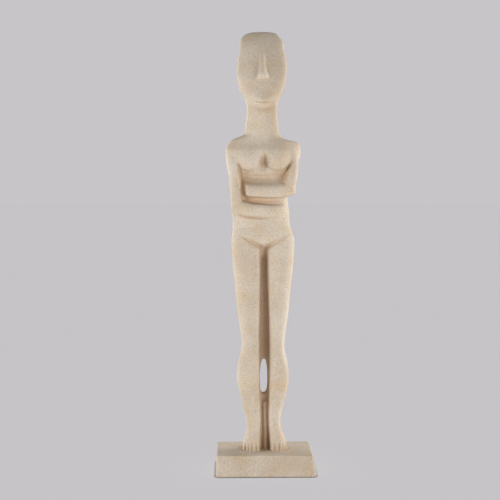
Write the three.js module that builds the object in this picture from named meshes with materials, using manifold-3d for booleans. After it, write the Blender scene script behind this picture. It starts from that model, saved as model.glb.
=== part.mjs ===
// A folded-arm figurine of the early Cycladic kind, cast in sand-coloured stone in one with its base.
// Millimetres, +Z up. The front faces -Y, and the origin is the middle of the base's underside.

import * as THREE from "three";
import { mergeVertices } from "three/addons/utils/BufferGeometryUtils.js";
import Module from "manifold-3d";

// The base: a low block whose sides spread a little towards the bottom, as a mould needs
const BASE_WIDTH = 69.4;
const BASE_DEPTH = 43.5;
const BASE_THICKNESS = 15.4;
const BASE_SPREAD = 1.65;
const BASE_CORNER_RADIUS = 1.6;
const BASE_TOP_BEVEL = 0.7;
const BASE_TOP_SHIFT = -0.9;

// The figure: its height above the base, and how it is set on the base
const FIGURE_HEIGHT = 304.6;
const FIGURE_SETBACK = 3;
const FIGURE_SIDE_OFFSET = -0.75;
const FIGURE_TURN_DEGREES = 3;
const FIGURE_LEAN_DEGREES = 0.4;

// Carving that has a width of its own
const TOE_SLIT_WIDTH = 0.8;
const TOE_SLIT_DEPTH = 0.9;
const SPINE_WIDTH = 5;
const SPINE_DEPTH = 0.9;

// How square the ovals are: 2 is an ellipse, and a higher number has flatter sides
const TRUNK_CORNER = 2.5;
const LEG_CORNER = 2.3;
const LEG_INNER_CORNER = 4;
const HEAD_CORNER = 2.2;
const NOSE_CORNER = 1.7;
const HOLE_CORNER = 2.4;
const ARM_CORNER = 2.35;
// The face changes with height: a narrow round chin, a flat middle and a rounded crown
const FACE_CORNER = [[82, 1.5], [84, 1.6], [87, 2.2], [90, 2.9], [94, 3], [98, 2.3], [100, 2.1]];
const TOE_CORNER = 3;

// How finely the round forms are cut into faces
const TRUNK_SIDES = 32;
const LEG_SIDES = 20;
const HEAD_SIDES = 28;
const ARM_SIDES = 12;
const ARM_RINGS_PER_ROW = 2;
const ARM_END_ANGLES = [1.45, 1.1, 0.6];
const NOSE_SIDES = 12;
const BREAST_SIDES = 16;
const HOLE_SIDES = 24;
const BASE_CORNER_SIDES = 4;

const STONE = { color: 0xd9c8ad, roughness: 0.92, metalness: 0 };

// Every table below is in hundredths of the figure's height. Heights start at the base's top,
// and sideways sizes are measured from the figure's own middle line.

// Neck and trunk: height, half width on its right and left, depth to the front and back
const TRUNK = [
  [46.8, 6.0, 6.0, 1.0, 3.1],
  [47.8, 6.9, 6.9, 2.1, 3.9],
  [49.0, 7.25, 7.25, 3.15, 4.1],
  [51.0, 7.4, 7.3, 3.7, 3.85],
  [53.0, 7.2, 6.65, 3.6, 3.4],
  [54.5, 7.2, 6.45, 3.45, 3.05],
  [56.5, 7.15, 6.1, 3.2, 2.75],
  [59.5, 6.7, 5.8, 2.9, 2.6],
  [62.5, 6.75, 6.1, 2.8, 2.7],
  [65.5, 7.0, 6.5, 2.85, 2.95],
  [68.1, 7.8, 7.8, 3.0, 3.15],
  [70.4, 8.5, 9.15, 3.1, 3.2],
  [71.6, 8.7, 9.1, 3.05, 3.1],
  [72.6, 8.45, 8.95, 2.95, 3.0],
  [73.5, 7.9, 8.3, 2.85, 2.85],
  [74.2, 7.2, 5.7, 2.75, 2.75],
  [74.8, 5.7, 4.75, 2.65, 2.65],
  [75.5, 4.4, 4.15, 2.55, 2.55],
  [77.0, 4.1, 3.9, 2.5, 2.45],
  [81.0, 3.65, 3.55, 2.6, 2.3],
  [84.5, 3.75, 3.8, 2.4, 2.2],
];

// The legs with their feet: height, outer side of the right and left leg, inner side, and depth to the
// front and back
const LEG = [
  [-2.0, 5.15, 5.4, 1.2, 3.7, 3.1],
  [0.0, 5.15, 5.4, 1.2, 3.7, 3.1],
  [1.5, 5.08, 5.25, 1.15, 3.4, 3.05],
  [2.9, 4.82, 4.85, 1.1, 3.0, 2.95],
  [4.4, 4.31, 4.2, 1.0, 2.65, 2.8],
  [6.5, 4.33, 4.0, 0.85, 2.4, 2.75],
  [8.8, 4.75, 4.25, 0.85, 2.5, 2.9],
  [10.2, 5.15, 4.6, 0.9, 2.6, 3.1],
  [13.2, 5.8, 5.4, 1.0, 2.85, 3.55],
  [16.1, 6.4, 5.98, 1.1, 3.05, 3.85],
  [18.3, 6.47, 6.02, 1.15, 3.2, 3.8],
  [20.5, 6.2, 5.76, 1.15, 3.45, 3.4],
  [22.6, 5.75, 5.31, 1.15, 3.7, 2.85],
  [24.3, 5.39, 5.01, 1.15, 3.85, 2.55],
  [26.3, 5.3, 5.07, 1.15, 3.9, 2.5],
  [29.2, 5.65, 5.46, 1.1, 3.85, 2.7],
  [32.8, 6.24, 6.0, 1.0, 3.8, 3.0],
  [38.6, 6.73, 6.56, 0.8, 3.75, 3.5],
  [44.4, 7.27, 7.24, 0.7, 3.75, 4.0],
  [47.6, 7.41, 7.4, 0.65, 3.7, 4.1],
  [50.0, 7.31, 7.3, 0.6, 3.55, 3.85],
  [52.6, 6.8, 6.8, 0.6, 3.1, 3.2],
];

// The head, tilted back: height, half width on its right and left, face and back of the head
const HEAD = [
  [82.3, 0.5, 0.5, 3.4, 0.6],
  [82.5, 1.5, 1.5, 3.6, 1.5],
  [82.9, 2.4, 2.35, 3.8, 2.1],
  [83.6, 3.6, 3.5, 3.85, 2.35],
  [84.4, 4.4, 4.4, 3.7, 2.45],
  [85.8, 5.25, 4.95, 3.3, 2.55],
  [87.2, 5.65, 5.4, 2.9, 2.8],
  [88.6, 5.9, 5.8, 2.5, 3.1],
  [90.2, 5.95, 5.95, 2.05, 3.45],
  [92.8, 5.7, 6.05, 1.2, 4.0],
  [95.7, 5.2, 5.55, 0.1, 4.4],
  [97.3, 5.05, 5.35, -0.7, 4.45],
  [98.3, 4.75, 4.9, -1.35, 4.4],
  [99.1, 4.1, 4.3, -1.95, 4.2],
  [99.7, 2.9, 3.5, -2.5, 3.9],
  [100.0, 1.3, 2.0, -2.9, 3.3],
];

// The nose: height, half width, and how far it stands out of the face. Its root is sunk in the face.
const NOSE = [
  [87.9, 1.35, 0.0],
  [88.4, 1.45, 0.75],
  [89.4, 1.35, 1.5],
  [91.0, 1.15, 1.3],
  [93.0, 0.9, 0.85],
  [95.6, 0.6, 0.05],
];
const NOSE_ROOT = 1;
const NOSE_BACK = 0.5;

// Arms: sideways, front to back and height of the middle, then half its width and half its depth
const RIGHT_UPPER_ARM = [
  [-6.9, -0.4, 71.0, 1.7, 2.2],
  [-6.85, -0.6, 68.5, 1.75, 2.5],
  [-6.35, -0.7, 65.2, 1.65, 2.6],
  [-6.2, -0.75, 61.6, 1.55, 2.6],
  [-6.1, -0.75, 58.0, 1.5, 2.5],
];
const RIGHT_FOREARM = [
  [-6.0, -1.65, 57.7, 1.6, 1.6],
  [-3.6, -2.6, 57.5, 1.65, 1.4],
  [-1.0, -2.9, 57.4, 1.65, 1.3],
  [1.6, -2.85, 57.3, 1.6, 1.25],
  [4.0, -2.1, 57.25, 1.5, 1.15],
  [5.6, -0.7, 57.2, 1.3, 0.75],
  [5.75, 0.3, 57.2, 0.9, 0.35],
];
const LEFT_UPPER_ARM = [
  [6.7, -0.4, 71.0, 1.6, 2.2],
  [7.1, -0.6, 68.5, 1.45, 2.5],
  [6.95, -0.7, 66.5, 1.45, 2.6],
  [6.4, -0.75, 64.2, 1.65, 2.6],
  [6.3, -0.75, 62.2, 1.6, 2.5],
];
const LEFT_FOREARM = [
  [6.25, -1.6, 62.2, 1.45, 1.7],
  [3.9, -2.5, 62.2, 1.45, 1.4],
  [1.3, -2.8, 62.25, 1.5, 1.3],
  [-1.3, -2.85, 62.35, 1.55, 1.3],
  [-2.9, -2.7, 62.4, 1.5, 1.25],
];

// Breasts: sideways place, height, half width, half depth and half height
const BREAST = { aside: 3.05, height: 69.4, front: -2.0, size: [3.25, 2.5, 3.0] };

// The thin wall between the legs, set back from their fronts, and the hole through it
const WEB = { from: -2, to: 50, half: 1.5, front: -0.2, back: 1.9 };
const HOLE = { height: 17.5, half: 0.95, rise: 4.2, egg: 0.12 };
// The bar that swells from that wall between the ankles, as an arm
const ANKLE_BAR = [
  [0.1, 0.2, -1.5, 0.9, 0.9],
  [0.1, 0.2, 5.0, 0.8, 0.8],
  [0.1, 0.1, 11.0, 0.95, 0.9],
];

// Groin: the two lines from the hips to the top of the leg groove: sideways, height and half width
// of the rod that cuts them, and how much of that half width is sunk in
const GROIN = [
  [5.7, 51.7, 0.25],
  [4.2, 50.8, 0.5],
  [2.8, 49.9, 0.65],
  [1.4, 49.1, 0.75],
  [0.3, 48.5, 0.8],
];
const GROIN_DEPTH = 0.3;

// Toes: where the slits between them are, from the inner side of the foot, in its widths
const TOE_SLITS = [0.25, 0.52, 0.71, 0.86];
const TOE_TOP = 2.6;

const unit = FIGURE_HEIGHT / 100;
const radians = THREE.MathUtils.degToRad;

const wasm = await Module();
wasm.setup();

// The figure's own frame, set on the base: back from its middle, turned and leaning slightly
const placing = new THREE.Matrix4()
  .makeTranslation(FIGURE_SIDE_OFFSET, FIGURE_SETBACK, BASE_THICKNESS)
  .multiply(new THREE.Matrix4().makeRotationZ(radians(FIGURE_TURN_DEGREES)))
  .multiply(new THREE.Matrix4().makeRotationY(radians(-FIGURE_LEAN_DEGREES)));

// A table's row at any height: a smooth curve through its rows
function rowAt(table, height) {
  const last = table.length - 1;
  const above = table.findIndex((row) => row[0] >= height);
  const i = above < 0 ? last : Math.max(above, 1);
  const slope = (k, column) => {
    const before = table[Math.max(k - 1, 0)];
    const after = table[Math.min(k + 1, last)];
    return (after[column] - before[column]) / (after[0] - before[0]);
  };
  const [from, to] = [table[i - 1], table[i]];
  const span = to[0] - from[0];
  const t = (height - from[0]) / span;
  const ease = t * t * (3 - 2 * t);
  const leave = t * (1 - t) * (1 - t) * span;
  const arrive = t * t * (t - 1) * span;
  return from.map((value, column) => {
    const joined = value + (to[column] - value) * ease;
    return joined + slope(i - 1, column) * leave + slope(i, column) * arrive;
  });
}

// One closed oval ring. The corner exponent is 2 for an ellipse and more for a squarer oval.
function oval({ x = 0, y = 0, height, right, left, front, back, corner }, sides) {
  const ring = [];
  for (let k = 0; k < sides; k += 1) {
    const angle = (2 * Math.PI * k) / sides;
    const [c, s] = [Math.cos(angle), Math.sin(angle)];
    const power = 2 / (typeof corner === "function" ? corner(c, s) : corner);
    const across = Math.sign(c) * Math.abs(c) ** power * (c < 0 ? right : left);
    const deep = Math.sign(s) * Math.abs(s) ** power * (s < 0 ? front : back);
    ring.push(new THREE.Vector3(x + across, y + deep, height).multiplyScalar(unit));
  }
  return ring;
}

// A closed skin over a row of rings that run anticlockwise, seen from the last ring's side
function skin(rings) {
  const sides = rings[0].length;
  const points = rings.flat();
  const middle = (ring) => {
    const sum = new THREE.Vector3();
    ring.forEach((point) => sum.add(point));
    return sum.divideScalar(ring.length);
  };
  const [first, last] = [points.length, points.length + 1];
  points.push(middle(rings[0]), middle(rings.at(-1)));
  const faces = [];
  for (let k = 0; k < sides; k += 1) {
    const next = (k + 1) % sides;
    faces.push(first, next, k);
    const top = (rings.length - 1) * sides;
    faces.push(last, top + k, top + next);
    for (let i = 0; i < rings.length - 1; i += 1) {
      const [low, high] = [i * sides, (i + 1) * sides];
      faces.push(low + k, low + next, high + next, low + k, high + next, high + k);
    }
  }
  const geometry = new THREE.BufferGeometry().setFromPoints(points);
  geometry.setIndex(faces);
  return geometry;
}

// A closed geometry as a solid that can be joined and cut
function solid(geometry, matrix = placing) {
  const bare = geometry.clone().applyMatrix4(matrix);
  bare.deleteAttribute("normal");
  bare.deleteAttribute("uv");
  const merged = mergeVertices(bare, 1e-4);
  const vertProperties = new Float32Array(merged.attributes.position.array);
  const triVerts = new Uint32Array(merged.index.array);
  return new wasm.Manifold(new wasm.Mesh({ numProp: 3, vertProperties, triVerts }));
}

// Neck and trunk, with a shallow spine down the back
function trunk() {
  const spine = (x, y) => {
    const off = (x * unit) / SPINE_WIDTH;
    return y > 0 ? y - (SPINE_DEPTH / unit) * Math.exp(-off * off * 4) : y;
  };
  const rings = TRUNK.map(([height, right, left, front, back]) => {
    const ring = oval({ height, right, left, front, back, corner: TRUNK_CORNER }, TRUNK_SIDES);
    ring.forEach((point) => point.setY(spine(point.x / unit, point.y / unit) * unit));
    return ring;
  });
  return solid(skin(rings));
}

// One leg. Its inner side is flat, so that the groove between the legs has crisp edges.
function leg(side) {
  const corner = (c) => (c * side > 0 ? LEG_CORNER : LEG_INNER_CORNER);
  const rings = LEG.map(([height, right, left, inner, front, back]) => {
    const outer = side < 0 ? right : left;
    const half = (outer - inner) / 2;
    const x = (side * (outer + inner)) / 2;
    return oval({ x, height, right: half, left: half, front, back, corner }, LEG_SIDES);
  });
  return solid(skin(rings));
}

// How square the face is at a height, evenly between the rows of its table
function faceCornerAt(height) {
  const above = FACE_CORNER.findIndex(([top]) => top >= height);
  const [[low, from], [high, to]] = [FACE_CORNER[above - 1], FACE_CORNER[above]];
  return THREE.MathUtils.mapLinear(height, low, high, from, to);
}

function head() {
  const rings = HEAD.map(([height, right, left, face, back]) => {
    const corner = (c, s) => (s < 0 ? faceCornerAt(height) : HEAD_CORNER);
    const y = (back - face) / 2;
    const half = (back + face) / 2;
    return oval({ y, height, right, left, front: half, back: half, corner }, HEAD_SIDES);
  });
  return solid(skin(rings));
}

// The nose is a wedge that rises out of the face and ends in a slanting underside
function nose() {
  const rings = NOSE.map(([height, half, out]) => {
    const y = NOSE_ROOT - rowAt(HEAD, height)[3];
    const deep = NOSE_ROOT + out;
    const sizes = { right: half, left: half, front: deep, back: NOSE_BACK };
    return oval({ y, height, ...sizes, corner: NOSE_CORNER }, NOSE_SIDES);
  });
  return solid(skin(rings));
}

// An arm along its row of middles, round at both ends
function arm(rows) {
  const path = new THREE.CatmullRomCurve3(rows.map(([x, y, z]) => new THREE.Vector3(x, y, z)));
  const steps = (rows.length - 1) * ARM_RINGS_PER_ROW;
  const power = 2 / ARM_CORNER;
  const widthAt = (t) => {
    const place = t * (rows.length - 1);
    const i = Math.min(Math.floor(place), rows.length - 2);
    const lerp = (column) => THREE.MathUtils.lerp(rows[i][column], rows[i + 1][column], place - i);
    return [lerp(3), lerp(4)];
  };
  const ringAt = (t, along, swell) => {
    const ahead = path.getTangent(t).normalize();
    const out = new THREE.Vector3(0, -1, 0).addScaledVector(ahead, ahead.y).normalize();
    const aside = new THREE.Vector3().crossVectors(ahead, out);
    const [wide, deep] = widthAt(t);
    const middle = path.getPoint(t).addScaledVector(ahead, along * wide);
    const ring = [];
    for (let k = 0; k < ARM_SIDES; k += 1) {
      const angle = (2 * Math.PI * k) / ARM_SIDES;
      const [c, s] = [Math.cos(angle), Math.sin(angle)];
      const point = middle.clone();
      point.addScaledVector(aside, Math.sign(c) * Math.abs(c) ** power * wide * swell);
      point.addScaledVector(out, -Math.sign(s) * Math.abs(s) ** power * deep * swell);
      ring.push(point.multiplyScalar(unit));
    }
    return ring;
  };
  const rings = ARM_END_ANGLES.map((a) => ringAt(0, -Math.sin(a), Math.cos(a)));
  for (let k = 0; k <= steps; k += 1) {
    rings.push(ringAt(k / steps, 0, 1));
  }
  ARM_END_ANGLES.toReversed().forEach((a) => rings.push(ringAt(1, Math.sin(a), Math.cos(a))));
  return solid(skin(rings));
}

function breast(side) {
  const [wide, deep, high] = BREAST.size;
  const ball = new THREE.SphereGeometry(1, BREAST_SIDES, BREAST_SIDES / 2);
  ball.rotateX(Math.PI / 2);
  ball.scale(wide, deep, high);
  ball.translate(side * BREAST.aside, BREAST.front, BREAST.height);
  ball.scale(unit, unit, unit);
  return solid(ball);
}

// The wall between the legs, as an upright bar with its egg-shaped hole cut out
function web() {
  const wide = 2 * WEB.half;
  const deep = WEB.back - WEB.front;
  const bar = new THREE.BoxGeometry(wide, deep, WEB.to - WEB.from);
  bar.translate(0, WEB.front + deep / 2, (WEB.from + WEB.to) / 2);
  bar.scale(unit, unit, unit);
  const egg = new THREE.Shape();
  for (let k = 0; k < HOLE_SIDES; k += 1) {
    const angle = (2 * Math.PI * k) / HOLE_SIDES;
    const [c, s] = [Math.cos(angle), Math.sin(angle)];
    const rise = Math.sign(s) * Math.abs(s) ** (2 / HOLE_CORNER);
    const wide = Math.sign(c) * Math.abs(c) ** (2 / HOLE_CORNER);
    const across = wide * HOLE.half * (1 - HOLE.egg * rise);
    const point = [across * unit, (HOLE.height + rise * HOLE.rise) * unit];
    if (k === 0) {
      egg.moveTo(...point);
    } else {
      egg.lineTo(...point);
    }
  }
  const through = 3 * deep * unit;
  const hole = new THREE.ExtrudeGeometry(egg, { depth: through, bevelEnabled: false });
  hole.rotateX(Math.PI / 2);
  hole.translate(0, (WEB.front + WEB.back) / 2 * unit + through / 2, 0);
  return solid(bar).subtract(solid(hole));
}

// How far forward the front of the trunk or the thigh stands at a place
function frontAt(x, height) {
  const reach = (off, half, corner) => Math.max(1 - Math.abs(off / half) ** corner, 0) ** (1 / corner);
  const [, right, left, front] = rowAt(TRUNK, height);
  const [, outerRight, outerLeft, inner, thigh] = rowAt(LEG, height);
  const outer = x < 0 ? outerRight : outerLeft;
  const off = Math.abs(x) - (outer + inner) / 2;
  const trunkFront = front * reach(x, x < 0 ? right : left, TRUNK_CORNER);
  const legFront = thigh * reach(off, (outer - inner) / 2, off < 0 ? LEG_INNER_CORNER : LEG_CORNER);
  return -Math.max(trunkFront, legFront);
}

// A rod sunk into the front along the groin line
function groinLine(side) {
  return arm(GROIN.map(([x, height, half]) => {
    const y = frontAt(side * x, height) - half * (1 - GROIN_DEPTH);
    return [side * x, y, height, half, half];
  }));
}

// The slits between the toes: thin upright wedges set into the front of a foot
function toeSlits(side) {
  const [, right, left, inner, front] = rowAt(LEG, 0);
  const outer = side < 0 ? right : left;
  const [, , , , frontAtTop] = rowAt(LEG, TOE_TOP);
  const middle = (outer + inner) / 2;
  const half = (outer - inner) / 2;
  return TOE_SLITS.map((share) => {
    const x = inner + share * (outer - inner);
    const off = Math.abs(x - middle) / half;
    const reach = (1 - off ** TOE_CORNER) ** (1 / TOE_CORNER);
    const footAt = (forward) => -forward * reach * unit;
    const slit = new THREE.Shape();
    slit.moveTo(-TOE_SLIT_WIDTH / 2, -TOE_SLIT_DEPTH);
    slit.lineTo(TOE_SLIT_WIDTH / 2, -TOE_SLIT_DEPTH);
    slit.lineTo(0, TOE_SLIT_DEPTH);
    const length = TOE_TOP * unit;
    const wedge = new THREE.ExtrudeGeometry(slit, { depth: length, bevelEnabled: false });
    const low = footAt(front);
    const tilt = Math.atan2(footAt(frontAtTop) - low, length);
    wedge.rotateX(-tilt);
    wedge.translate(side * x * unit, low, 0);
    return solid(wedge);
  });
}

// The base: rounded rectangles that grow towards the bottom, with a fine bevel on the top edge
function base() {
  const outline = (grow, height) => {
    const [w, d] = [BASE_WIDTH / 2 + grow, BASE_DEPTH / 2 + grow];
    const r = Math.min(BASE_CORNER_RADIUS + grow, w, d);
    const shape = new THREE.Shape();
    shape.absarc(w - r, d - r, r, 0, Math.PI / 2);
    shape.absarc(r - w, d - r, r, Math.PI / 2, Math.PI);
    shape.absarc(r - w, r - d, r, Math.PI, 1.5 * Math.PI);
    shape.absarc(w - r, r - d, r, 1.5 * Math.PI, 2 * Math.PI);
    const aside = (BASE_TOP_SHIFT * height) / BASE_THICKNESS;
    return shape.getPoints(BASE_CORNER_SIDES).map((p) => new THREE.Vector3(p.x + aside, p.y, height));
  };
  const rings = [
    outline(BASE_SPREAD, 0),
    outline(0, BASE_THICKNESS - BASE_TOP_BEVEL),
    outline(-BASE_TOP_BEVEL, BASE_THICKNESS),
  ];
  return solid(skin(rings), new THREE.Matrix4());
}

function figurine() {
  const joined = [
    base(), trunk(), head(), nose(), web(), arm(ANKLE_BAR),
    leg(-1), leg(1), breast(-1), breast(1),
    arm(RIGHT_UPPER_ARM), arm(RIGHT_FOREARM), arm(LEFT_UPPER_ARM), arm(LEFT_FOREARM),
  ];
  const cuts = [groinLine(-1), groinLine(1), ...toeSlits(-1), ...toeSlits(1)];
  let body = joined.reduce((whole, piece) => whole.add(piece));
  body = cuts.reduce((whole, cut) => whole.subtract(cut), body);
  const mesh = body.getMesh();
  const geometry = new THREE.BufferGeometry();
  geometry.setAttribute("position", new THREE.BufferAttribute(mesh.vertProperties, 3));
  geometry.setIndex(new THREE.BufferAttribute(mesh.triVerts, 1));
  geometry.computeVertexNormals();
  return geometry;
}

const group = new THREE.Group();
const cast = new THREE.Mesh(figurine(), new THREE.MeshStandardMaterial(STONE));
cast.name = "figurine";
group.add(cast);

export default group;
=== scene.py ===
"""A cast-stone copy of a folded-arm Cycladic figurine, standing on the base it was cast with.

The whole casting is one mesh. Its form is a distance field: every limb says how far a point is from
its surface, the limbs are joined with soft fillets, and the surface is where the distance is nothing.
"""

import math

import bmesh
import bpy
import numpy as np
from mathutils import Matrix, Vector
from mathutils.bvhtree import BVHTree
from mathutils.kdtree import KDTree


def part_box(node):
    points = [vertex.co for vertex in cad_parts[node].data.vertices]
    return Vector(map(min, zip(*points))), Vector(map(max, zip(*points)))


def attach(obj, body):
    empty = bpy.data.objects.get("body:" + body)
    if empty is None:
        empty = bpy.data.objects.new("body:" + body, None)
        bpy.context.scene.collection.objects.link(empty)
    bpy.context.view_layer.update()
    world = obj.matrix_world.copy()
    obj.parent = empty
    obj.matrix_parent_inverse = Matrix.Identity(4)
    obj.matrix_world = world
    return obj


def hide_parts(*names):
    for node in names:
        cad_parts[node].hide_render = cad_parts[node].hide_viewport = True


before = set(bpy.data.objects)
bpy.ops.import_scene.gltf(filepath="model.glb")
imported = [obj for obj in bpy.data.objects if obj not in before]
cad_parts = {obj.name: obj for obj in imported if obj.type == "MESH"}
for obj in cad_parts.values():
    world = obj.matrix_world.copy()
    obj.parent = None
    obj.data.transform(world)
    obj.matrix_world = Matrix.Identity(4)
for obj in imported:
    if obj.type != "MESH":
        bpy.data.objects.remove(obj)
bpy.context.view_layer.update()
MM = 0.001

# Sizes in mm, as in the CAD model. The front faces -Y, and the base stands on z = 0.
BASE_WIDTH = 69.4
BASE_DEPTH = 43.5
BASE_THICKNESS = 15.4
BASE_SPREAD = 1.65
BASE_CORNER_RADIUS = 1.6
# How far the base's top stands aside of its underside
BASE_TOP_SHIFT = -0.9
FIGURE_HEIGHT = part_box("figurine")[1].z / MM - BASE_THICKNESS
FIGURE_SETBACK = 3
FIGURE_SIDE_OFFSET = -0.75
FIGURE_TURN_DEGREES = 3
FIGURE_LEAN_DEGREES = 0.4
TOE_SLIT_WIDTH = 0.55
TOE_SLIT_DEPTH = 1.1
# The slits are cut into the figure only in front of this, and fade upwards at this rate
TOE_SLIT_BACK = -4
TOE_SLIT_FADE = 1.4
SPINE_WIDTH = 5
SPINE_DEPTH = 0.9
# Height in hundredths of the figure, and how much of the spine's depth there is
SPINE_FADE = [(48, 0.3), (53, 1), (70, 1), (75, 0.45), (80, 0)]

# The grain stands in from the moulded surface by at most this much, so that the size stays the same
SKIN = 0.12

# How square the ovals are: 2 is an ellipse, and a higher number has flatter sides
TRUNK_CORNER = 2.5
LEG_CORNER = 2.3
LEG_INNER_CORNER = 4.5
HEAD_CORNER = 2.2
NOSE_CORNER = 2.6
ARM_CORNER = 2.35
HAND_CORNER = 2.8

# Radii of the fillets where one form runs into another, in mm
FOOT_FILLET = 0.5
HIP_FILLET = 2.6
NECK_FILLET = 2.4
NOSE_FILLET = 0.9
WEB_FILLET = 0.9
HOLE_EDGE = 0.8
BASE_EDGE = 0.7
# The same where a form ends above and below
FORM_EDGE = 0.6
CROWN_EDGE = 0.9
NOSE_EDGE = 0.3
# Height in hundredths of the figure, and the fillet there: soft at the shoulder, crisp at the elbow
ARM_FILLET = [(56, 3.0), (58.5, 1.8), (60.5, 1.2), (63.5, 6.5), (66, 1.4), (69, 1.8), (71.5, 2.6)]
BREAST_FILLET = [(65.5, 0.4), (67.5, 0.8), (69.5, 4.5), (71.5, 8.0)]
# The same for how square the face is across: the chin is a narrow round and the brow is flat
FACE_CORNER = [(82, 2.0), (84, 2.1), (87, 2.4), (90, 2.9), (94, 3.0), (98, 2.3), (100, 2.1)]

# Every table below is in hundredths of the figure's height. Heights start at the base's top,
# and sideways sizes are measured from the figure's own middle line.
UNIT = FIGURE_HEIGHT / 100

# Neck and trunk: height, half width on its right and left, depth to the front and back
TRUNK = [
    (46.8, 6.0, 6.0, 1.0, 3.1),
    (47.8, 6.9, 6.9, 2.1, 3.9),
    (49.0, 7.25, 7.25, 3.15, 4.1),
    (51.0, 7.4, 7.3, 3.7, 3.85),
    (53.0, 7.2, 6.65, 3.6, 3.4),
    (54.5, 7.2, 6.45, 3.45, 3.05),
    (56.5, 7.15, 6.1, 3.2, 2.75),
    (59.5, 6.7, 6.05, 2.9, 2.6),
    (62.5, 6.75, 6.1, 2.8, 2.7),
    (65.5, 7.0, 6.5, 2.85, 2.95),
    (68.1, 7.8, 7.8, 3.0, 3.15),
    (70.4, 8.5, 9.15, 3.1, 3.2),
    (71.6, 8.7, 9.1, 3.05, 3.1),
    (72.6, 8.45, 8.95, 2.95, 3.0),
    (73.5, 7.9, 8.3, 2.85, 2.85),
    (74.2, 7.2, 5.7, 2.75, 2.75),
    (74.8, 5.7, 4.75, 2.65, 2.65),
    (75.5, 4.4, 4.15, 2.55, 2.55),
    (77.0, 4.1, 3.9, 2.5, 2.45),
    (81.0, 3.65, 3.55, 2.6, 2.3),
    (82.5, 3.75, 3.75, 2.5, 2.25),
    (84.5, 4.35, 4.3, 2.2, 2.25),
    (86.0, 5.1, 4.85, 1.6, 2.3),
]

# The legs with their feet: height, outer side of the right and left leg, inner side, depth to the
# front and back
LEG = [
    (-2.0, 5.15, 5.4, 1.2, 3.7, 3.1),
    (0.0, 5.15, 5.4, 1.2, 3.7, 3.1),
    (1.5, 5.08, 5.25, 1.15, 3.4, 3.05),
    (2.9, 4.82, 4.85, 1.1, 3.0, 2.95),
    (4.4, 4.31, 4.2, 1.0, 2.65, 2.8),
    (6.5, 4.33, 4.0, 0.85, 2.4, 2.75),
    (8.8, 4.75, 4.25, 0.85, 2.5, 2.9),
    (10.2, 5.15, 4.6, 0.9, 2.6, 3.1),
    (13.2, 5.8, 5.4, 1.0, 2.85, 3.55),
    (16.1, 6.4, 5.98, 1.1, 3.05, 3.85),
    (18.3, 6.47, 6.02, 1.15, 3.2, 3.8),
    (20.5, 6.2, 5.76, 1.15, 3.45, 3.4),
    (22.6, 5.75, 5.31, 1.15, 3.7, 2.85),
    (24.3, 5.39, 5.01, 1.15, 3.85, 2.55),
    (26.3, 5.3, 5.07, 1.15, 3.9, 2.5),
    (29.2, 5.65, 5.46, 1.1, 3.85, 2.7),
    (32.8, 6.24, 6.0, 1.0, 3.8, 3.0),
    (38.6, 6.73, 6.56, 0.8, 3.75, 3.5),
    (44.4, 7.27, 7.24, 0.7, 3.75, 4.0),
    (47.6, 7.41, 7.4, 0.65, 3.7, 4.1),
    (50.0, 7.31, 7.3, 0.6, 3.55, 3.85),
    (52.6, 6.5, 6.1, 0.6, 3.1, 3.2),
]

# The head, tilted back: height, half width on its right and left, face and back of the head
HEAD = [
    (82.6, 0.5, 0.5, 3.4, 0.8),
    (82.72, 1.3, 1.3, 3.8, 1.6),
    (83.0, 2.3, 2.3, 4.1, 2.1),
    (83.5, 3.2, 3.15, 4.15, 2.3),
    (84.2, 4.0, 3.95, 3.9, 2.4),
    (85.05, 4.7, 4.6, 3.55, 2.5),
    (86.0, 5.25, 5.05, 3.2, 2.6),
    (87.2, 5.65, 5.5, 2.9, 2.8),
    (88.6, 5.9, 5.8, 2.5, 3.1),
    (90.2, 5.95, 5.95, 2.05, 3.45),
    (92.8, 5.7, 6.05, 1.2, 4.0),
    (95.7, 5.2, 5.55, 0.1, 4.4),
    (97.3, 5.05, 5.35, -0.7, 4.45),
    (98.3, 4.75, 4.9, -1.35, 4.4),
    (99.1, 4.1, 4.3, -1.95, 4.2),
    (99.7, 2.9, 3.5, -2.5, 3.9),
    (100.0, 1.3, 2.0, -2.9, 3.3),
]

# The nose: height, half width, and how far it stands out of the face. Its root is sunk in the face.
NOSE = [
    (87.9, 1.3, 0.0),
    (88.35, 1.5, 0.9),
    (89.0, 1.45, 1.5),
    (89.8, 1.15, 1.5),
    (91.0, 0.9, 1.2),
    (93.0, 0.85, 0.8),
    (95.6, 0.7, 0.05),
]
NOSE_ROOT = 1

# Arms: sideways, front to back and height of the middle, then half its width and half its depth
RIGHT_UPPER_ARM = [
    (-6.9, -0.4, 71.0, 1.7, 2.2),
    (-6.85, -0.6, 68.5, 1.75, 2.5),
    (-6.45, -0.7, 65.2, 1.5, 2.6),
    (-6.35, -0.75, 61.6, 1.4, 2.6),
    (-5.95, -0.75, 58.0, 1.65, 2.5),
]
RIGHT_FOREARM = [
    (-6.0, -1.65, 57.7, 1.6, 1.6),
    (-4.8, -2.2, 57.95, 1.9, 1.5),
    (-3.4, -2.65, 57.6, 1.8, 1.4),
    (-1.0, -2.9, 57.35, 1.75, 1.3),
    (1.6, -2.85, 57.2, 1.7, 1.25),
    (4.0, -2.1, 57.15, 1.6, 1.15),
    (5.35, -0.7, 57.2, 1.3, 0.75),
    (5.45, 0.3, 57.2, 0.9, 0.35),
]
LEFT_UPPER_ARM = [
    (6.7, -0.4, 71.0, 1.6, 2.2),
    (7.1, -0.6, 68.5, 1.45, 2.5),
    (6.95, -0.7, 66.5, 1.45, 2.6),
    (6.45, -0.75, 64.2, 1.6, 2.6),
    (6.3, -0.75, 62.6, 1.5, 2.5),
]
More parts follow.
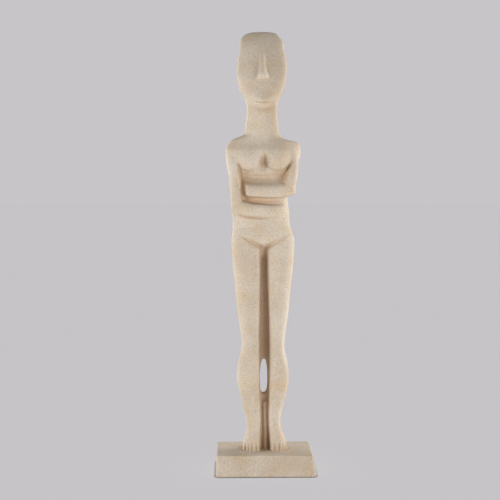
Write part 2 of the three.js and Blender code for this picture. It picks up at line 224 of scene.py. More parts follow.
LEFT_FOREARM = [
    (6.05, -1.6, 62.15, 1.45, 1.7),
    (3.9, -2.5, 61.75, 1.48, 1.4),
    (1.3, -2.8, 61.65, 1.5, 1.3),
    (-1.3, -2.85, 61.75, 1.52, 1.3),
    (-3.0, -2.7, 61.85, 1.5, 1.25),
]
# How long the rounding at each end of a limb is, in its half widths
ROUND_END = 1.0
HAND_END = 0.75

# Breasts: sideways place, height, half width, half depth and half height
BREAST = {"aside": 3.05, "height": 69.4, "front": -2.1, "size": (3.25, 2.7, 2.95)}

# The thin wall between the legs, set back from their fronts: height, and how far forward it stands
WEB = {"from": -2, "to": 50, "half": 1.5, "back": 1.9}
WEB_FRONT = [(0, -0.3), (12, -0.4), (26, -0.75), (45, -1.0)]
# The bar that swells from the wall between the ankles, as an arm, and the hole through the wall
BAR = [(0.35, -0.2, -1.5, 0.75, 0.95), (0.3, -0.2, 5, 0.7, 0.85), (0.25, -0.2, 11.0, 0.8, 0.85)]
HOLE = {"height": 17.5, "half": 0.95, "rise": 4.2, "egg": 0.12, "corner": 2.4}

# Soft lines pressed into the front: points sideways and in height, then half width and depth in mm
GROIN = [
    (5.7, 51.7, 0.8, 0.4), (4.2, 50.8, 1.1, 1.3), (2.8, 49.9, 1.4, 2.0), (1.4, 49.1, 1.6, 2.4),
    (0.3, 48.5, 1.6, 2.4),
]
PRESSED_LINES = {
    "right groin": [(-x, *rest) for x, *rest in GROIN],
    "left groin": GROIN,
    "belly crease": [
        (-4.6, 52.0, 0.6, 0.05), (-1.5, 51.7, 0.6, 0.45), (1.5, 51.7, 0.6, 0.45), (4.0, 52.0, 0.6, 0.05),
    ],
    "right armpit, down to the lower forearm and along it": [
        (-5.9, 68.8, 0.7, 0.3), (-5.65, 67.0, 0.8, 1.3), (-5.15, 65.1, 1.0, 1.5), (-5.05, 63.8, 1.1, 2.0),
        (-5.0, 62.3, 1.1, 1.1), (-4.6, 60.6, 1.1, 1.1), (-3.5, 59.6, 1.1, 0.7), (0.5, 59.0, 1.1, 0.5),
        (3.8, 58.7, 0.9, 0.1),
    ],
    "left armpit": [
        (6.6, 68.7, 0.6, 0.2), (5.8, 67.4, 0.7, 1.1), (4.9, 65.7, 0.8, 1.3), (4.3, 65.0, 0.9, 0.4),
    ],
    "under the lower forearm": [
        (-6.8, 56.9, 0.8, 0.3), (-5.9, 56.45, 0.8, 1.1), (-4.7, 56.0, 0.8, 1.3), (-2.4, 55.7, 0.8, 1.2),
        (0.8, 55.55, 0.8, 1.0), (3.8, 55.5, 0.8, 0.15),
    ],
    "between the breasts": [
        (0, 71.6, 1.8, 0.2), (0, 70.3, 2.7, 1.3), (0, 68.6, 3.3, 2.4), (0, 67.1, 3.4, 2.2),
        (0, 66.0, 3.2, 0.7),
    ],
}
# Wide hollows, in the same way
HOLLOWS = {
    "under the chin": [(-2.4, 82.0, 1.6, 0.3), (0, 81.4, 1.9, 1.0), (2.4, 82.0, 1.6, 0.3)],
    "under the breasts": [(-4.2, 65.3, 3.0, 2.9), (0, 65.1, 3.3, 3.1), (4.2, 65.3, 3.0, 2.9)],
    "between the forearms": [(-4.0, 60.2, 1.8, 1.3), (0, 59.9, 1.9, 1.2), (3.9, 59.8, 1.6, 0.5)],
}

# Toes: where the slits between them are, from the inner side of the foot, in its widths
TOE_SLITS = [0.25, 0.52, 0.71, 0.86]
TOE_TOP = 2.6

# Pits that air bubbles left in the surface, in mm, and how near a pit the mesh is made finer, twice
PITS = {"seed": 7, "count": 120, "apart": 5.0, "above": 2, "widths": (0.6, 1.2), "depth": 0.25}
PIT_FINER = (2.0, 1.2)
# How far from its middle a pit's floor ends and its rim is, in its widths
PIT_FLOOR = 0.2
PIT_RIM = 0.6
# How shut in a place is shows in this many directions, from this far above the surface and up to this
# far away, in mm. Left out are directions that point out of the surface by less than this share.
HOLLOW_RAYS = 32
HOLLOW_LIFT = 0.2
HOLLOW_REACH = 9.0
HOLLOW_GRAZE = 0.15
# The surface's gentle unevenness, in mm
UNEVEN_HEIGHT = 0.10
UNEVEN_SIZE = 7.0

# The mesh's cells: size across in mm, and size upwards from each height in hundredths
CELL = 0.8
CELL_RISE = [(-6, 0.7), (4, 1.3), (54, 0.8), (75, 1.1), (101, 1.1)]
# Forms are worked out up to this far from themselves, in mm
REACH = 9.0
# Beyond this slope a form's side is its end, which is not to swell what lies beside it
STEEPEST = 1.2
# Where the carving is fine: from and up to which height, its half width, and how far back it reaches
FINE_CARVING = {"toes": (0, TOE_TOP, 5.6, -1.8), "nose": (87, 92, 2.2, -1.5)}

# Colours as sRGB hex codes
BACKDROP = "#c7c5c8"
STONE_PALE = "#d8cbb9"
STONE_DEEP = "#cdbda8"
STONE_WARM = "#d3b78e"
GRAIN_DARK = "#8a765c"
GRAIN_LIGHT = "#e4dac8"
# Painted warm shade under the chin and in the hollows, and deeper painted shade in the deepest hollows
WARM_PAINTED_SHADE = "#b88f62"
DEEP_PAINTED_SHADE = "#a8814c"
# Painted shade in the pits
PIT_PAINTED_SHADE = "#6d573e"
# What the stone's colour is multiplied by: in the sand, as painted shade on the base's sides, and as
# painted shade on the crown and one side of the head
SAND_TONES = ((0.88, 0.87, 0.86, 1), (1.07, 1.08, 1.08, 1))
BASE_SIDES_PAINTED_SHADE = (0.91, 0.89, 0.87, 1)
HEAD_PAINTED_SHADE = (0.87, 0.845, 0.815, 1)

# Clouds in the stone: size in mm, octaves, where the noise starts and ends, and what it makes there
CEMENT_CLOUDS = (26, 3, 0.35, 0.65, 0, 1)
SANDY_CLOUDS = (11, 2, 0.45, 0.75, 0, 0.4)
SAND = (0.9, 3, 0.3, 0.7, 0, 1)
ROUGHNESS = (1.6, 2, 0.3, 0.7, 0.78, 0.95)
SHINE = 0.35
# Single grains: size of the cells in mm, what share of them holds one, and its radius in cells. Then
# out to which share of its radius a grain's colour is full, and how strong that colour is.
DARK_GRAINS = (1.5, 0.14, 0.3)
LIGHT_GRAINS = (1.9, 0.2, 0.3)
GRAIN_CORE = 0.6
GRAIN_SHARE = 0.5
# The grain's relief: size in mm and octaves of its coarse and fine part, the fine share, and height in mm
RELIEF_COARSE = (0.8, 3)
RELIEF_FINE = (2.2, 2)
RELIEF_SHARE = 0.35
GRAIN_HEIGHT = 0.06
# Where a tone starts and is full, in m, and from and to what share
# Painted shade on the base's sides, below its top
BASE_SIDES_PAINTED_SHADE_BELOW = ((BASE_THICKNESS - 1.4) * MM, (BASE_THICKNESS - 0.6) * MM, 1, 0)
# Painted shade on the head and neck: from which height, across which width towards the left side, and on
# the crown
HEAD_PAINTED_SHADE_ABOVE = (0.232, 0.262)
HEAD_PAINTED_SHADE_ASIDE = (-0.008, 0.014)
HEAD_PAINTED_SHADE_CROWN = (0.298, 0.316, 0, 0.6)
# Painted shade in a band under the chin
THROAT_PAINTED_SHADE_ABOVE = (0.256, 0.263)
THROAT_PAINTED_SHADE_BELOW = (0.265, 0.268, 1, 0)
THROAT_PAINTED_SHADE_FRONT = (-0.006, 0.0, 1, 0)
THROAT_PAINTED_SHADE_SHARE = 0.22
# How shut in a place is where the painted shade in the hollows starts and is thickest there, and from and
# to what share
HOLLOW_PAINTED_SHADE_RANGE = (0.06, 0.42, 0, 0.42)
DEEP_PAINTED_SHADE_RANGE = (0.5, 0.9, 0, 0.25)
# How strong the painted shade in the pits is
PIT_PAINTED_SHADE_SHARE = 0.3

# The studio floor: half its width in metres, its even glow and its own colour
FLOOR_HALF = 12.0
FLOOR_GLOW = 0.93
FLOOR_MATT = (0.2, 0.2, 0.2, 1)
# Its contact shade round the piece: how far it reaches in mm, how open a place is where the shade is
# full and where it ends, and the glow in full shade
CONTACT_REACH = 2.5
CONTACT_OPEN = (0.45, 0.95)
CONTACT_GLOW = 0.15
# The surroundings are as pale as the backdrop in directions that rise by less than the first share,
# and a grey as dim as the third number in those that rise by more than the second
PALE_BELOW = 0.16
DIM_ABOVE = 0.43
OVERHEAD = 0.11
# Soft lights on both sides: where they are and how large, in metres, and their watts
LIGHTS = {
    "left_low": ((-0.9, -0.3, 0.03), (0.5, 0.4), 8.0),
    "left_mid": ((-0.9, -0.3, 0.40), (0.5, 0.5), 1.1),
    "right_low": ((0.9, -0.3, 0.03), (0.5, 0.4), 2.5),
    "right_front": ((0.65, -0.75, 0.03), (0.5, 0.4), 7.6),
    "right_back_high": ((0.65, 0.45, 0.50), (0.9, 0.7), 6.4),
    "left_back_high": ((-0.60, 0.50, 0.50), (0.7, 0.7), 2.6),
}
LIGHTS_AIM = (0, 0, 0.16)

# The camera: level with the breasts, slightly to the figure's right, looking a little down
PICTURE_PIXELS = 500
SENSOR_WIDTH = 36
FOCAL_PIXELS = 1048
HORIZON_PIXELS = 63
CAMERA_TURN = 0.014
CAMERA_DISTANCE = 0.760
CAMERA_ASIDE = 0.01125
CAMERA_HEIGHT = 0.2071


def smooth_rows(table, step=0.4):
    """The table in mm on a smooth curve through its rows, at even steps of its first column."""
    rows = np.array(table, float) * UNIT
    heights = rows[:, 0]
    slopes = np.empty_like(rows)
    slopes[1:-1] = (rows[2:] - rows[:-2]) / (heights[2:] - heights[:-2])[:, None]
    slopes[0] = (rows[1] - rows[0]) / (heights[1] - heights[0])
    slopes[-1] = (rows[-1] - rows[-2]) / (heights[-1] - heights[-2])
    at = np.linspace(heights[0], heights[-1], int((heights[-1] - heights[0]) / step) + 2)
    i = np.clip(np.searchsorted(heights, at), 1, len(rows) - 1)
    span = heights[i] - heights[i - 1]
    t = ((at - heights[i - 1]) / span)[:, None]
    ease = t * t * (3 - 2 * t)
    leave = t * (1 - t) ** 2 * span[:, None]
    arrive = t * t * (t - 1) * span[:, None]
    between = rows[i - 1] + (rows[i] - rows[i - 1]) * ease
    smooth = between + slopes[i - 1] * leave + slopes[i] * arrive
    smooth[:, 0] = at
    return smooth


def smooth_curve(rows, steps=6):
    """Points on a smooth curve through the rows, in mm, with the curve's direction added to each."""
    rows = np.array(rows, float) * UNIT
    padded = np.vstack([2 * rows[0] - rows[1], rows, 2 * rows[-1] - rows[-2]])
    made = []
    for i in range(1, len(padded) - 2):
        before, start, end, after = padded[i - 1 : i + 3]
        for t in np.arange(steps) / steps:
            square, cube = t * t, t**3
            made.append(
                0.5 * (2 * start + (end - before) * t
                       + (2 * before - 5 * start + 4 * end - after) * square
                       + (3 * start - before - 3 * end + after) * cube)
            )
    made.append(rows[-1])
    made = np.array(made)
    return np.hstack([made, np.gradient(made[:, :3], axis=0)])


def soft_union(a, b, radius):
    """Two forms joined, with a fillet of about this radius in mm."""
    near = np.maximum(radius - np.abs(a - b), 0) / radius
    return np.minimum(a, b) - near * near * radius / 4


def soft_overlap(a, b, radius):
    """What two forms share, with its edge rounded."""
    return -soft_union(-a, -b, radius)


def oval_distance(offsets, halves, corner, slopes=None):
    """Distance to an oval body: how far along each axis, its half size there, and how square it is."""
    shares = [np.abs(offset) / half for offset, half in zip(offsets, halves)]
    size = np.maximum(sum(share**corner for share in shares) ** (1 / corner), 1e-6)
    pulls = [(share / size) ** (corner - 1) for share in shares]
    steep = sum((pull / half) ** 2 for pull, half in zip(pulls, halves))
    if slopes is not None:
        steep = steep + sum(pull * slope for pull, slope in zip(pulls, slopes)) ** 2
    return (size - 1) / np.sqrt(steep + 1e-12)


class Form:
    """One form of the figure: its distance function, and the box around it outside which it has no say."""

    def __init__(self, lowest, highest, distance):
        self.lowest = np.array(lowest) - REACH
        self.highest = np.array(highest) + REACH
        self.distance = distance

    def __call__(self, points):
        result = np.full(len(points), 2 * REACH)
        near = ((points > self.lowest) & (points < self.highest)).all(axis=1)
        if near.any():
            result[near] = self.distance(points[near])
        return result


def loft(rows, corner, end_radius=FORM_EDGE):
    """A body with an oval section at each height.

    The rows are in mm: height, middle sideways and in depth, half sizes right, left, front and back.
    """
    heights = rows[:, 0]
    rises = np.gradient(rows, heights, axis=0)

    def distance(points):
        x, y, z = points.T
        mid_x, mid_y, right, left, front, back = (np.interp(z, heights, rows[:, k]) for k in range(1, 7))
        dx, dy, d_right, d_left, d_front, d_back = (np.interp(z, heights, rises[:, k]) for k in range(1, 7))
        across, deep = x - mid_x, y - mid_y
        half = np.where(across < 0, right, left)
        depth = np.where(deep < 0, front, back)
        d_half = np.where(across < 0, d_right, d_left)
        d_depth = np.where(deep < 0, d_front, d_back)
        d_half, d_depth = np.clip(d_half, -STEEPEST, STEEPEST), np.clip(d_depth, -STEEPEST, STEEPEST)
        slope_x = -(np.sign(across) * dx + np.minimum(np.abs(across) / half, 1) * d_half) / half
        slope_y = -(np.sign(deep) * dy + np.minimum(np.abs(deep) / depth, 1) * d_depth) / depth
        side = oval_distance((across, deep), (half, depth), corner(across, deep, z), (slope_x, slope_y))
        ends = np.maximum(z - heights[-1], heights[0] - z)
        return soft_overlap(side, ends, end_radius)

    reach_x = (rows[:, 1] - rows[:, 3]).min(), (rows[:, 1] + rows[:, 4]).max()
    reach_y = (rows[:, 2] - rows[:, 5]).min(), (rows[:, 2] + rows[:, 6]).max()
    return Form(
        (reach_x[0], reach_y[0], heights[0]), (reach_x[1], reach_y[1], heights[-1]), distance
    )


def limb(rows, start_end=ROUND_END, far_end=ROUND_END, corner=ARM_CORNER):
    """An arm along the smooth curve through its rows, oval across and rounded at both ends."""
    samples = smooth_curve(rows)

    def distance(points):
        nearest = np.full(len(points), np.inf)
        found = np.zeros((len(points), samples.shape[1]))
        for start, end in zip(samples[:-1], samples[1:]):
            step = end[:3] - start[:3]
            t = np.clip((points - start[:3]) @ step / (step @ step), 0, 1)[:, None]
            gap = np.linalg.norm(points - start[:3] - t * step, axis=1)
            closer = gap < nearest
            nearest[closer] = gap[closer]
            found[closer] = (start + t * (end - start))[closer]
        middle, wide, deep, ahead = found[:, :3], found[:, 3], found[:, 4], found[:, 5:]
        ahead = ahead / np.linalg.norm(ahead, axis=1)[:, None]
        out = ahead * ahead[:, 1:2] - np.array([0, 1, 0])
        out = out / np.linalg.norm(out, axis=1)[:, None]
        aside = np.cross(ahead, out)
        offset = points - middle
        along = (offset * ahead).sum(axis=1)
        cap = wide * np.where(along < 0, start_end, far_end)
        offsets = along, (offset * aside).sum(axis=1), (offset * out).sum(axis=1)
        return oval_distance(offsets, (cap, wide, deep), corner)

    margin = samples[:, 3:5].max()
    return Form(samples[:, :3].min(axis=0) - margin, samples[:, :3].max(axis=0) + margin, distance)


def ball(middle, size):
    """An oval ball, from its middle and half sizes in hundredths of the figure."""
    middle, size = np.array(middle) * UNIT, np.array(size) * UNIT
    return Form(
        middle - size, middle + size, lambda points: oval_distance((points - middle).T, size, 2)
    )


def line_mark(points, line):
    """How deep a soft line pressed into the front is at each point, in mm."""
    x, _, z = points.T
    line = np.array(line, float)
    places = line[:, :2] * UNIT
    depth = np.zeros(len(points))
    for (a, wide_a, deep_a), (b, wide_b, deep_b) in zip(
        zip(places, line[:, 2], line[:, 3]), zip(places[1:], line[1:, 2], line[1:, 3])
    ):
        step = b - a
        t = np.clip(((x - a[0]) * step[0] + (z - a[1]) * step[1]) / (step @ step), 0, 1)
        gap = np.hypot(x - a[0] - t * step[0], z - a[1] - t * step[1])
        wide = wide_a + (wide_b - wide_a) * t
        deep = deep_a + (deep_b - deep_a) * t
        depth = np.maximum(depth, deep * np.exp(-((gap / wide) ** 2)))
    return depth


def trunk_form():
    """Neck and trunk, with the groove of the spine in the back."""
    rows = smooth_rows(TRUNK)
    none = np.zeros(len(rows))
    body = loft(np.column_stack([rows[:, 0], none, none, rows[:, 1:]]), lambda *place: TRUNK_CORNER)

    def distance(points):
        off = points[:, 0] / (SPINE_WIDTH / 2)
        fade = np.interp(points[:, 2] / UNIT, *np.array(SPINE_FADE).T)
        spine = SPINE_DEPTH * fade * np.exp(-off * off) * (points[:, 1] > 0)
        return body.distance(points) + spine

    return Form(body.lowest + REACH, body.highest - REACH, distance)


def leg_form(side):
    """One leg with its foot. Its inner side is flat, and thin slits part the toes."""
    height, right, left, inner, front, back = smooth_rows(LEG).T
    outer = right if side < 0 else left
    half = (outer - inner) / 2
    rows = np.column_stack([height, side * (outer + inner) / 2, 0 * half, half, half, front, back])

    def corner(across, deep, z):
        return np.where(across * side > 0, LEG_CORNER, LEG_INNER_CORNER)

    body = loft(rows, corner)
    slits = [side * (inner[0] + share * (outer[0] - inner[0])) for share in TOE_SLITS]

    def distance(points):
        x, y, z = points.T
        fade = np.clip(TOE_SLIT_FADE * (1 - z / (TOE_TOP * UNIT)), 0, 1) * (y < TOE_SLIT_BACK)
        depth = sum(np.exp(-(((x - slit) / TOE_SLIT_WIDTH) ** 2)) for slit in slits) * TOE_SLIT_DEPTH
        return body.distance(points) + depth * fade

    return Form(body.lowest + REACH, body.highest - REACH, distance)


def head_form():
    """The head, with its flat face in front."""
    height, right, left, face, back = smooth_rows(HEAD).T
    half = (back + face) / 2
    rows = np.column_stack([height, 0 * half, (back - face) / 2, right, left, half, half])
    heights, corners = np.array(FACE_CORNER).T

    def corner(across, deep, z):
        return np.where(deep < 0, np.interp(z, heights * UNIT, corners), HEAD_CORNER)

    return loft(rows, corner, CROWN_EDGE)


def nose_form():
    """A wedge that rises out of the face to a narrow ridge and ends in a slanting underside."""
    height, half, out = smooth_rows(NOSE, 0.2).T
    head = smooth_rows(HEAD)
    face = np.interp(height, head[:, 0], head[:, 3])
    root = NOSE_ROOT * UNIT
    out = root + np.maximum(out, 0)
    rows = np.column_stack([height, 0 * half, root - face, half, half, out, root + 0 * half])
    return loft(rows, lambda *place: NOSE_CORNER, NOSE_EDGE)


def web_form():
    """The wall between the legs, with its egg-shaped hole."""
    half, back = WEB["half"] * UNIT, WEB["back"] * UNIT
    heights, fronts = np.array(WEB_FRONT).T * UNIT
    bottom, top = WEB["from"] * UNIT, WEB["to"] * UNIT
    hole_z, hole_half, rise = (HOLE[name] * UNIT for name in ("height", "half", "rise"))

    def distance(points):
        x, y, z = points.T
        deep = np.maximum(np.interp(z, heights, fronts) - y, y - back)
        wall = np.maximum(np.maximum(np.abs(x) - half, deep), np.maximum(bottom - z, z - top))
        across = hole_half * (1 - HOLE["egg"] * np.clip((z - hole_z) / rise, -1, 1))
        hole = oval_distance((x, z - hole_z), (across, rise), HOLE["corner"])
        return soft_overlap(wall, -hole, HOLE_EDGE)

    return Form((-half, fronts.min(), bottom), (half, back, top), distance)


FORMS = {
    "trunk": trunk_form(),
    "legs": [leg_form(-1), leg_form(1)],
    "head": head_form(),
    "nose": nose_form(),
    "web": web_form(),
    "bar": limb(BAR, ROUND_END, HAND_END),
    "breasts": [
        ball((side * BREAST["aside"], BREAST["front"], BREAST["height"]), BREAST["size"])
        for side in (-1, 1)
    ],
    "arms": [
        limb(RIGHT_UPPER_ARM), limb(RIGHT_FOREARM), limb(LEFT_UPPER_ARM),
        limb(LEFT_FOREARM, ROUND_END, HAND_END, HAND_CORNER),
    ],
}


def by_height(points, table):
    """What the table of heights and values says at each point."""
    heights, values = np.array(table, float).T
    return np.interp(points[:, 2], heights * UNIT, values)


def figure_distance(points):
    """Distance to the figure without its base, for points in its own frame."""
    legs = np.minimum(*(leg(points) for leg in FORMS["legs"]))
    web = soft_union(FORMS["web"](points), FORMS["bar"](points), WEB_FILLET)
    legs = soft_union(legs, web, WEB_FILLET)
    whole = soft_union(FORMS["trunk"](points), legs, HIP_FILLET)
    for breast in FORMS["breasts"]:
        whole = soft_union(whole, breast(points), by_height(points, BREAST_FILLET))
    arms = np.minimum.reduce([arm(points) for arm in FORMS["arms"]])
    whole = soft_union(whole, arms, by_height(points, ARM_FILLET))
    head = soft_union(FORMS["head"](points), FORMS["nose"](points), NOSE_FILLET)
    whole = soft_union(whole, head, NECK_FILLET)
    front = points[:, 1] < 0
    lines = np.maximum.reduce([line_mark(points[front], line) for line in PRESSED_LINES.values()])
    hollows = np.maximum.reduce([line_mark(points[front], line) for line in HOLLOWS.values()])
    whole[front] += lines + hollows
    return whole


def base_distance(points):
    """Distance to the base: an upright block whose sides spread towards the bottom."""
    x, y, z = points.T
    x = x - BASE_TOP_SHIFT * z / BASE_THICKNESS
    grow = BASE_SPREAD * (1 - z / BASE_THICKNESS)
    radius = BASE_CORNER_RADIUS + grow
    across = np.abs(x) - (BASE_WIDTH / 2 + grow) + radius
    deep = np.abs(y) - (BASE_DEPTH / 2 + grow) + radius
    side = np.hypot(np.maximum(across, 0), np.maximum(deep, 0)) + np.minimum(np.maximum(across, deep), 0)
    side = (side - radius) / math.hypot(1, BASE_SPREAD / BASE_THICKNESS)
    return soft_overlap(side, np.maximum(z - BASE_THICKNESS, -z), BASE_EDGE)


# The figure's own frame, set on the base: back from its middle, turned and leaning slightly
placing = (
    Matrix.Translation((FIGURE_SIDE_OFFSET, FIGURE_SETBACK, BASE_THICKNESS))
    @ Matrix.Rotation(math.radians(FIGURE_TURN_DEGREES), 4, "Z")
    @ Matrix.Rotation(math.radians(-FIGURE_LEAN_DEGREES), 4, "Y")
)
UNPLACE = np.array(placing.inverted())


def distance(points):
    """Distance to the whole casting, in mm, for points in the frame of the base."""
    figure = figure_distance(points @ UNPLACE[:3, :3].T + UNPLACE[:3, 3])
    return soft_union(figure, base_distance(points), FOOT_FILLET) + SKIN / 2


def slope(points, step=0.06):
    """The distance field's gradient, from samples this many mm to both sides."""
    parts = []
    for axis in np.eye(3) * step:
        parts.append((distance(points + axis) - distance(points - axis)) / (2 * step))
    return np.column_stack(parts)


def grid_axes():
    """Cell walls across, in depth and upwards, in mm."""
    half_x = BASE_WIDTH / 2 + BASE_SPREAD + CELL
    half_y = BASE_DEPTH / 2 + BASE_SPREAD + CELL
    z = [-1.0]
    heights, rises = np.array(CELL_RISE, float).T
    while z[-1] < BASE_THICKNESS + FIGURE_HEIGHT + 1:
        z.append(z[-1] + np.interp((z[-1] - BASE_THICKNESS) / UNIT, heights, rises))
    return (
        np.linspace(-half_x, half_x, int(2 * half_x / CELL) + 1),
        np.linspace(-half_y, half_y, int(2 * half_y / CELL) + 1),
        np.array(z),
    )


def surface_net(axes, values):
    """Corners and four-sided faces of the surface where the values on a grid change sign."""
    inside = values < 0
    corner_steps = [(i, j, k) for i in (0, 1) for j in (0, 1) for k in (0, 1)]
    nx, ny, nz = (n - 1 for n in values.shape)
    count = sum(inside[i : i + nx, j : j + ny, k : k + nz].astype(np.uint8) for i, j, k in corner_steps)
    cells = np.argwhere((count > 0) & (count < 8))
    number = np.full((nx, ny, nz), -1)
    number[tuple(cells.T)] = np.arange(len(cells))
    at = [cells + step for step in corner_steps]
    field = [values[tuple(c.T)] for c in at]
    place = [np.column_stack([axes[a][c[:, a]] for a in range(3)]) for c in at]
    total, crossings = np.zeros((len(cells), 3)), np.zeros(len(cells))
    for p in range(8):
        for q in range(p + 1, 8):
            if sum(abs(a - b) for a, b in zip(corner_steps[p], corner_steps[q])) != 1:
                continue
            cut = (field[p] < 0) != (field[q] < 0)
            t = field[p][cut] / (field[p][cut] - field[q][cut])
            total[cut] += place[p][cut] + t[:, None] * (place[q][cut] - place[p][cut])
            crossings[cut] += 1
    faces = []
    for axis in range(3):
        ahead = np.eye(3, dtype=int)[axis]
        u, v = np.eye(3, dtype=int)[(axis + 1) % 3], np.eye(3, dtype=int)[(axis + 2) % 3]
        upper = inside[tuple(slice(int(s), None) for s in ahead)]
        lower = inside[tuple(slice(None, -1) if s else slice(None) for s in ahead)]
        edges = np.argwhere(upper != lower)
        edges = edges[(edges >= u + v).all(axis=1)]
        fits = ((edges < np.array([nx, ny, nz])) | (ahead == 1)).all(axis=1)
        edges = edges[fits]
        ring = [number[tuple((edges - back).T)] for back in (u + v, v, 0 * u, u)]
        quads = np.column_stack(ring)
        leaving = inside[tuple(edges.T)]
        faces.append(np.where(leaving[:, None], quads, quads[:, ::-1]))
    return total / crossings[:, None], np.vstack(faces)


def settle(points, rounds, most=0.4):
    """Moves points onto the surface, by at most this many mm each round."""
    for _ in range(rounds):
        away = distance(points)
        gradient = slope(points)
        step = gradient * (away / np.maximum((gradient**2).sum(axis=1), 0.05))[:, None]
        length = np.linalg.norm(step, axis=1)
        points = points - step * np.minimum(1, most / np.maximum(length, 1e-9))[:, None]
    return points


def even_out(points, edges):
    """Slides points along the surface towards the middle of their neighbours."""
    total, count = np.zeros_like(points), np.zeros(len(points))
    for a, b in ((0, 1), (1, 0)):
        np.add.at(total, edges[:, a], points[edges[:, b]])
        np.add.at(count, edges[:, a], 1)
    pull = total / count[:, None] - points
    normal = slope(points)
    normal /= np.maximum(np.linalg.norm(normal, axis=1), 1e-9)[:, None]
    return points + 0.5 * (pull - normal * (pull * normal).sum(axis=1)[:, None])


def refine(bm, wanted):
    """Splits the faces whose middles are wanted into four, and settles the new corners on the surface."""
    known = len(bm.verts)
    middles = np.array([face.calc_center_median() for face in bm.faces])
    chosen = wanted(middles)
    edges = {edge for face, take in zip(bm.faces, chosen) if take for edge in face.edges}
    bmesh.ops.subdivide_edges(bm, edges=list(edges), cuts=1, use_grid_fill=True)
    bmesh.ops.triangulate(bm, faces=[face for face in bm.faces if len(face.verts) > 4])
    bm.verts.ensure_lookup_table()
    new = [bm.verts[k] for k in range(known, len(bm.verts))]
    for vert, place in zip(new, settle(np.array([vert.co for vert in new]), 2)):
        vert.co = place


def is_fine_carving(middles):
    """True at the toes and the tip of the nose."""
    x, y, z = ((middles @ UNPLACE[:3, :3].T + UNPLACE[:3, 3]) / UNIT).T
    boxes = FINE_CARVING.values()
    return np.logical_or.reduce(
        [(z > bottom) & (z < top) & (np.abs(x) < half) & (y < back) for bottom, top, half, back in boxes]
    )


def casting_mesh(pits):
    """The whole casting as one closed mesh, in metres, with finer faces at the carving and the pits."""
    axes = grid_axes()
    columns = np.stack(np.meshgrid(axes[0], axes[1], indexing="ij"), axis=-1).reshape(-1, 2)
    values = np.empty([len(a) for a in axes])
    for k, z in enumerate(axes[2]):
        points = np.column_stack([columns, np.full(len(columns), z)])
        values[:, :, k] = distance(points).reshape(len(axes[0]), len(axes[1]))
    points, faces = surface_net(axes, values)
    edges = np.vstack([faces[:, [k, (k + 1) % 4]] for k in range(4)])
    edges = np.unique(np.sort(edges, axis=1), axis=0)
    points = settle(points, 2)
    for _ in range(2):
        points = settle(even_out(points, edges), 1)
    mesh = bpy.data.meshes.new("figurine_cast")
    mesh.from_pydata(points.tolist(), [], faces.tolist())
    pits["places"] = pit_places(points, pits)
    bm = bmesh.new()
    bm.from_mesh(mesh)
    refine(bm, is_fine_carving)
    for reach in PIT_FINER:
        refine(bm, lambda middles: near_any(middles, pits["places"], reach))
    bm.to_mesh(mesh)
    bm.free()
    mesh.attributes.new("hollow", "FLOAT", "POINT").data.foreach_set("value", shut_in(mesh))
    mesh.transform(Matrix.Scale(MM, 4))
    mesh.shade_smooth()
    return mesh


def shut_in(mesh):
    """How much of the view out of each corner is blocked by stone close by, from 0 to 1."""
    points = [vert.co for vert in mesh.vertices]
    tree = BVHTree.FromPolygons(points, [tuple(face.vertices) for face in mesh.polygons])
    # Directions spread evenly over a sphere, on a spiral
    steps = (np.arange(HOLLOW_RAYS) + 0.5) / HOLLOW_RAYS
    turns = math.pi * (1 + math.sqrt(5)) * steps * HOLLOW_RAYS
    flat = np.sqrt(1 - (1 - 2 * steps) ** 2)
    ways = np.column_stack([flat * np.cos(turns), flat * np.sin(turns), 1 - 2 * steps])
    facing = np.array([vert.normal for vert in mesh.vertices]) @ ways.T
    ways = [Vector(way) for way in ways]
    shares = np.zeros(len(points))
    for k, (point, vert, weights) in enumerate(zip(points, mesh.vertices, facing)):
        start = point + vert.normal * HOLLOW_LIFT
        blocked = 0
        for j in np.flatnonzero(weights > HOLLOW_GRAZE):
            if tree.ray_cast(start, ways[j], HOLLOW_REACH)[0] is not None:
                blocked += weights[j]
        shares[k] = blocked / weights[weights > HOLLOW_GRAZE].sum()
    return shares


def pit_places(points, pits):
    """Where the pits are: spread at random over all but the underside, never two close together."""
    random = np.random.default_rng(pits["seed"])
    places = []
    for place in points[random.permutation(len(points))]:
        if place[2] > pits["above"] and all(np.linalg.norm(place - p) > pits["apart"] for p in places):
            places.append(place)
        if len(places) == pits["count"]:
            return np.array(places)


def near_any(middles, places, reach):
    """True for each middle that has one of the places within reach."""
    tree = KDTree(len(places))
    for k, place in enumerate(places):
        tree.insert(place, k)
    tree.balance()
    return np.array([tree.find(middle)[2] < reach for middle in middles])


def linear(hex_colour):
    """A colour as Blender takes it, from its sRGB hex code."""
    channels = [int(hex_colour[i : i + 2], 16) / 255 for i in (1, 3, 5)]
    return [c / 12.92 if c <= 0.04045 else ((c + 0.055) / 1.055) ** 2.4 for c in channels] + [1.0]


def add(tree, kind, links=None, **settings):
    """A node with its settings, and links from its named or numbered inputs to other nodes' outputs."""
    node = tree.nodes.new(kind)
    for name, value in settings.items():
        setattr(node, name, value)
    for name, value in (links or {}).items():
        if isinstance(value, bpy.types.NodeSocket):
            tree.links.new(value, node.inputs[name])
        else:
            node.inputs[name].default_value = value
    return node


